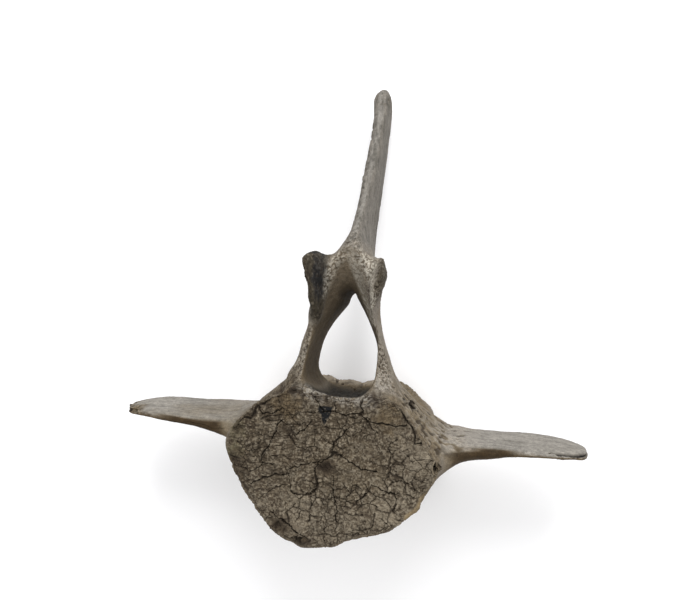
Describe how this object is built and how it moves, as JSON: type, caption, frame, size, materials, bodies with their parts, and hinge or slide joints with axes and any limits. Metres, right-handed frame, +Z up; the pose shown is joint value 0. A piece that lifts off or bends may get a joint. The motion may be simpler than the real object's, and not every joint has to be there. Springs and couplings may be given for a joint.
{
  "type": "whale vertebra",
  "caption": "Weathered lumbar vertebra of a large baleen whale: cracked drum, open arch, blade-like spine and two flat side processes, lying on its rear face.",
  "frame": {"origin": "centre of the flat rear face of the centrum, on the floor", "axes": "+Z up from the floor, which is forward in the animal; +Y dorsal, towards the tip of the neural spine; +X the animal's left"},
  "size_m": [0.486, 0.4744, 0.191],
  "materials": {
    "cracked_bone": "dry, matte, deeply cracked bone end plate",
    "weathered_bone": "dry grey bone, fibrous along its length, spongy at the edges",
    "brown_bone": "dry brown bone, smoother, with stains in its hollows"
  },
  "bodies": {
    "root": {"centrum": "cracked_bone", "transverse_process_left": "weathered_bone", "transverse_process_right": "weathered_bone", "pedicle_left": "brown_bone", "pedicle_right": "brown_bone", "neural_spine": "weathered_bone", "metapophysis_left": "weathered_bone", "metapophysis_right": "weathered_bone"}
  },
  "joints": []
}
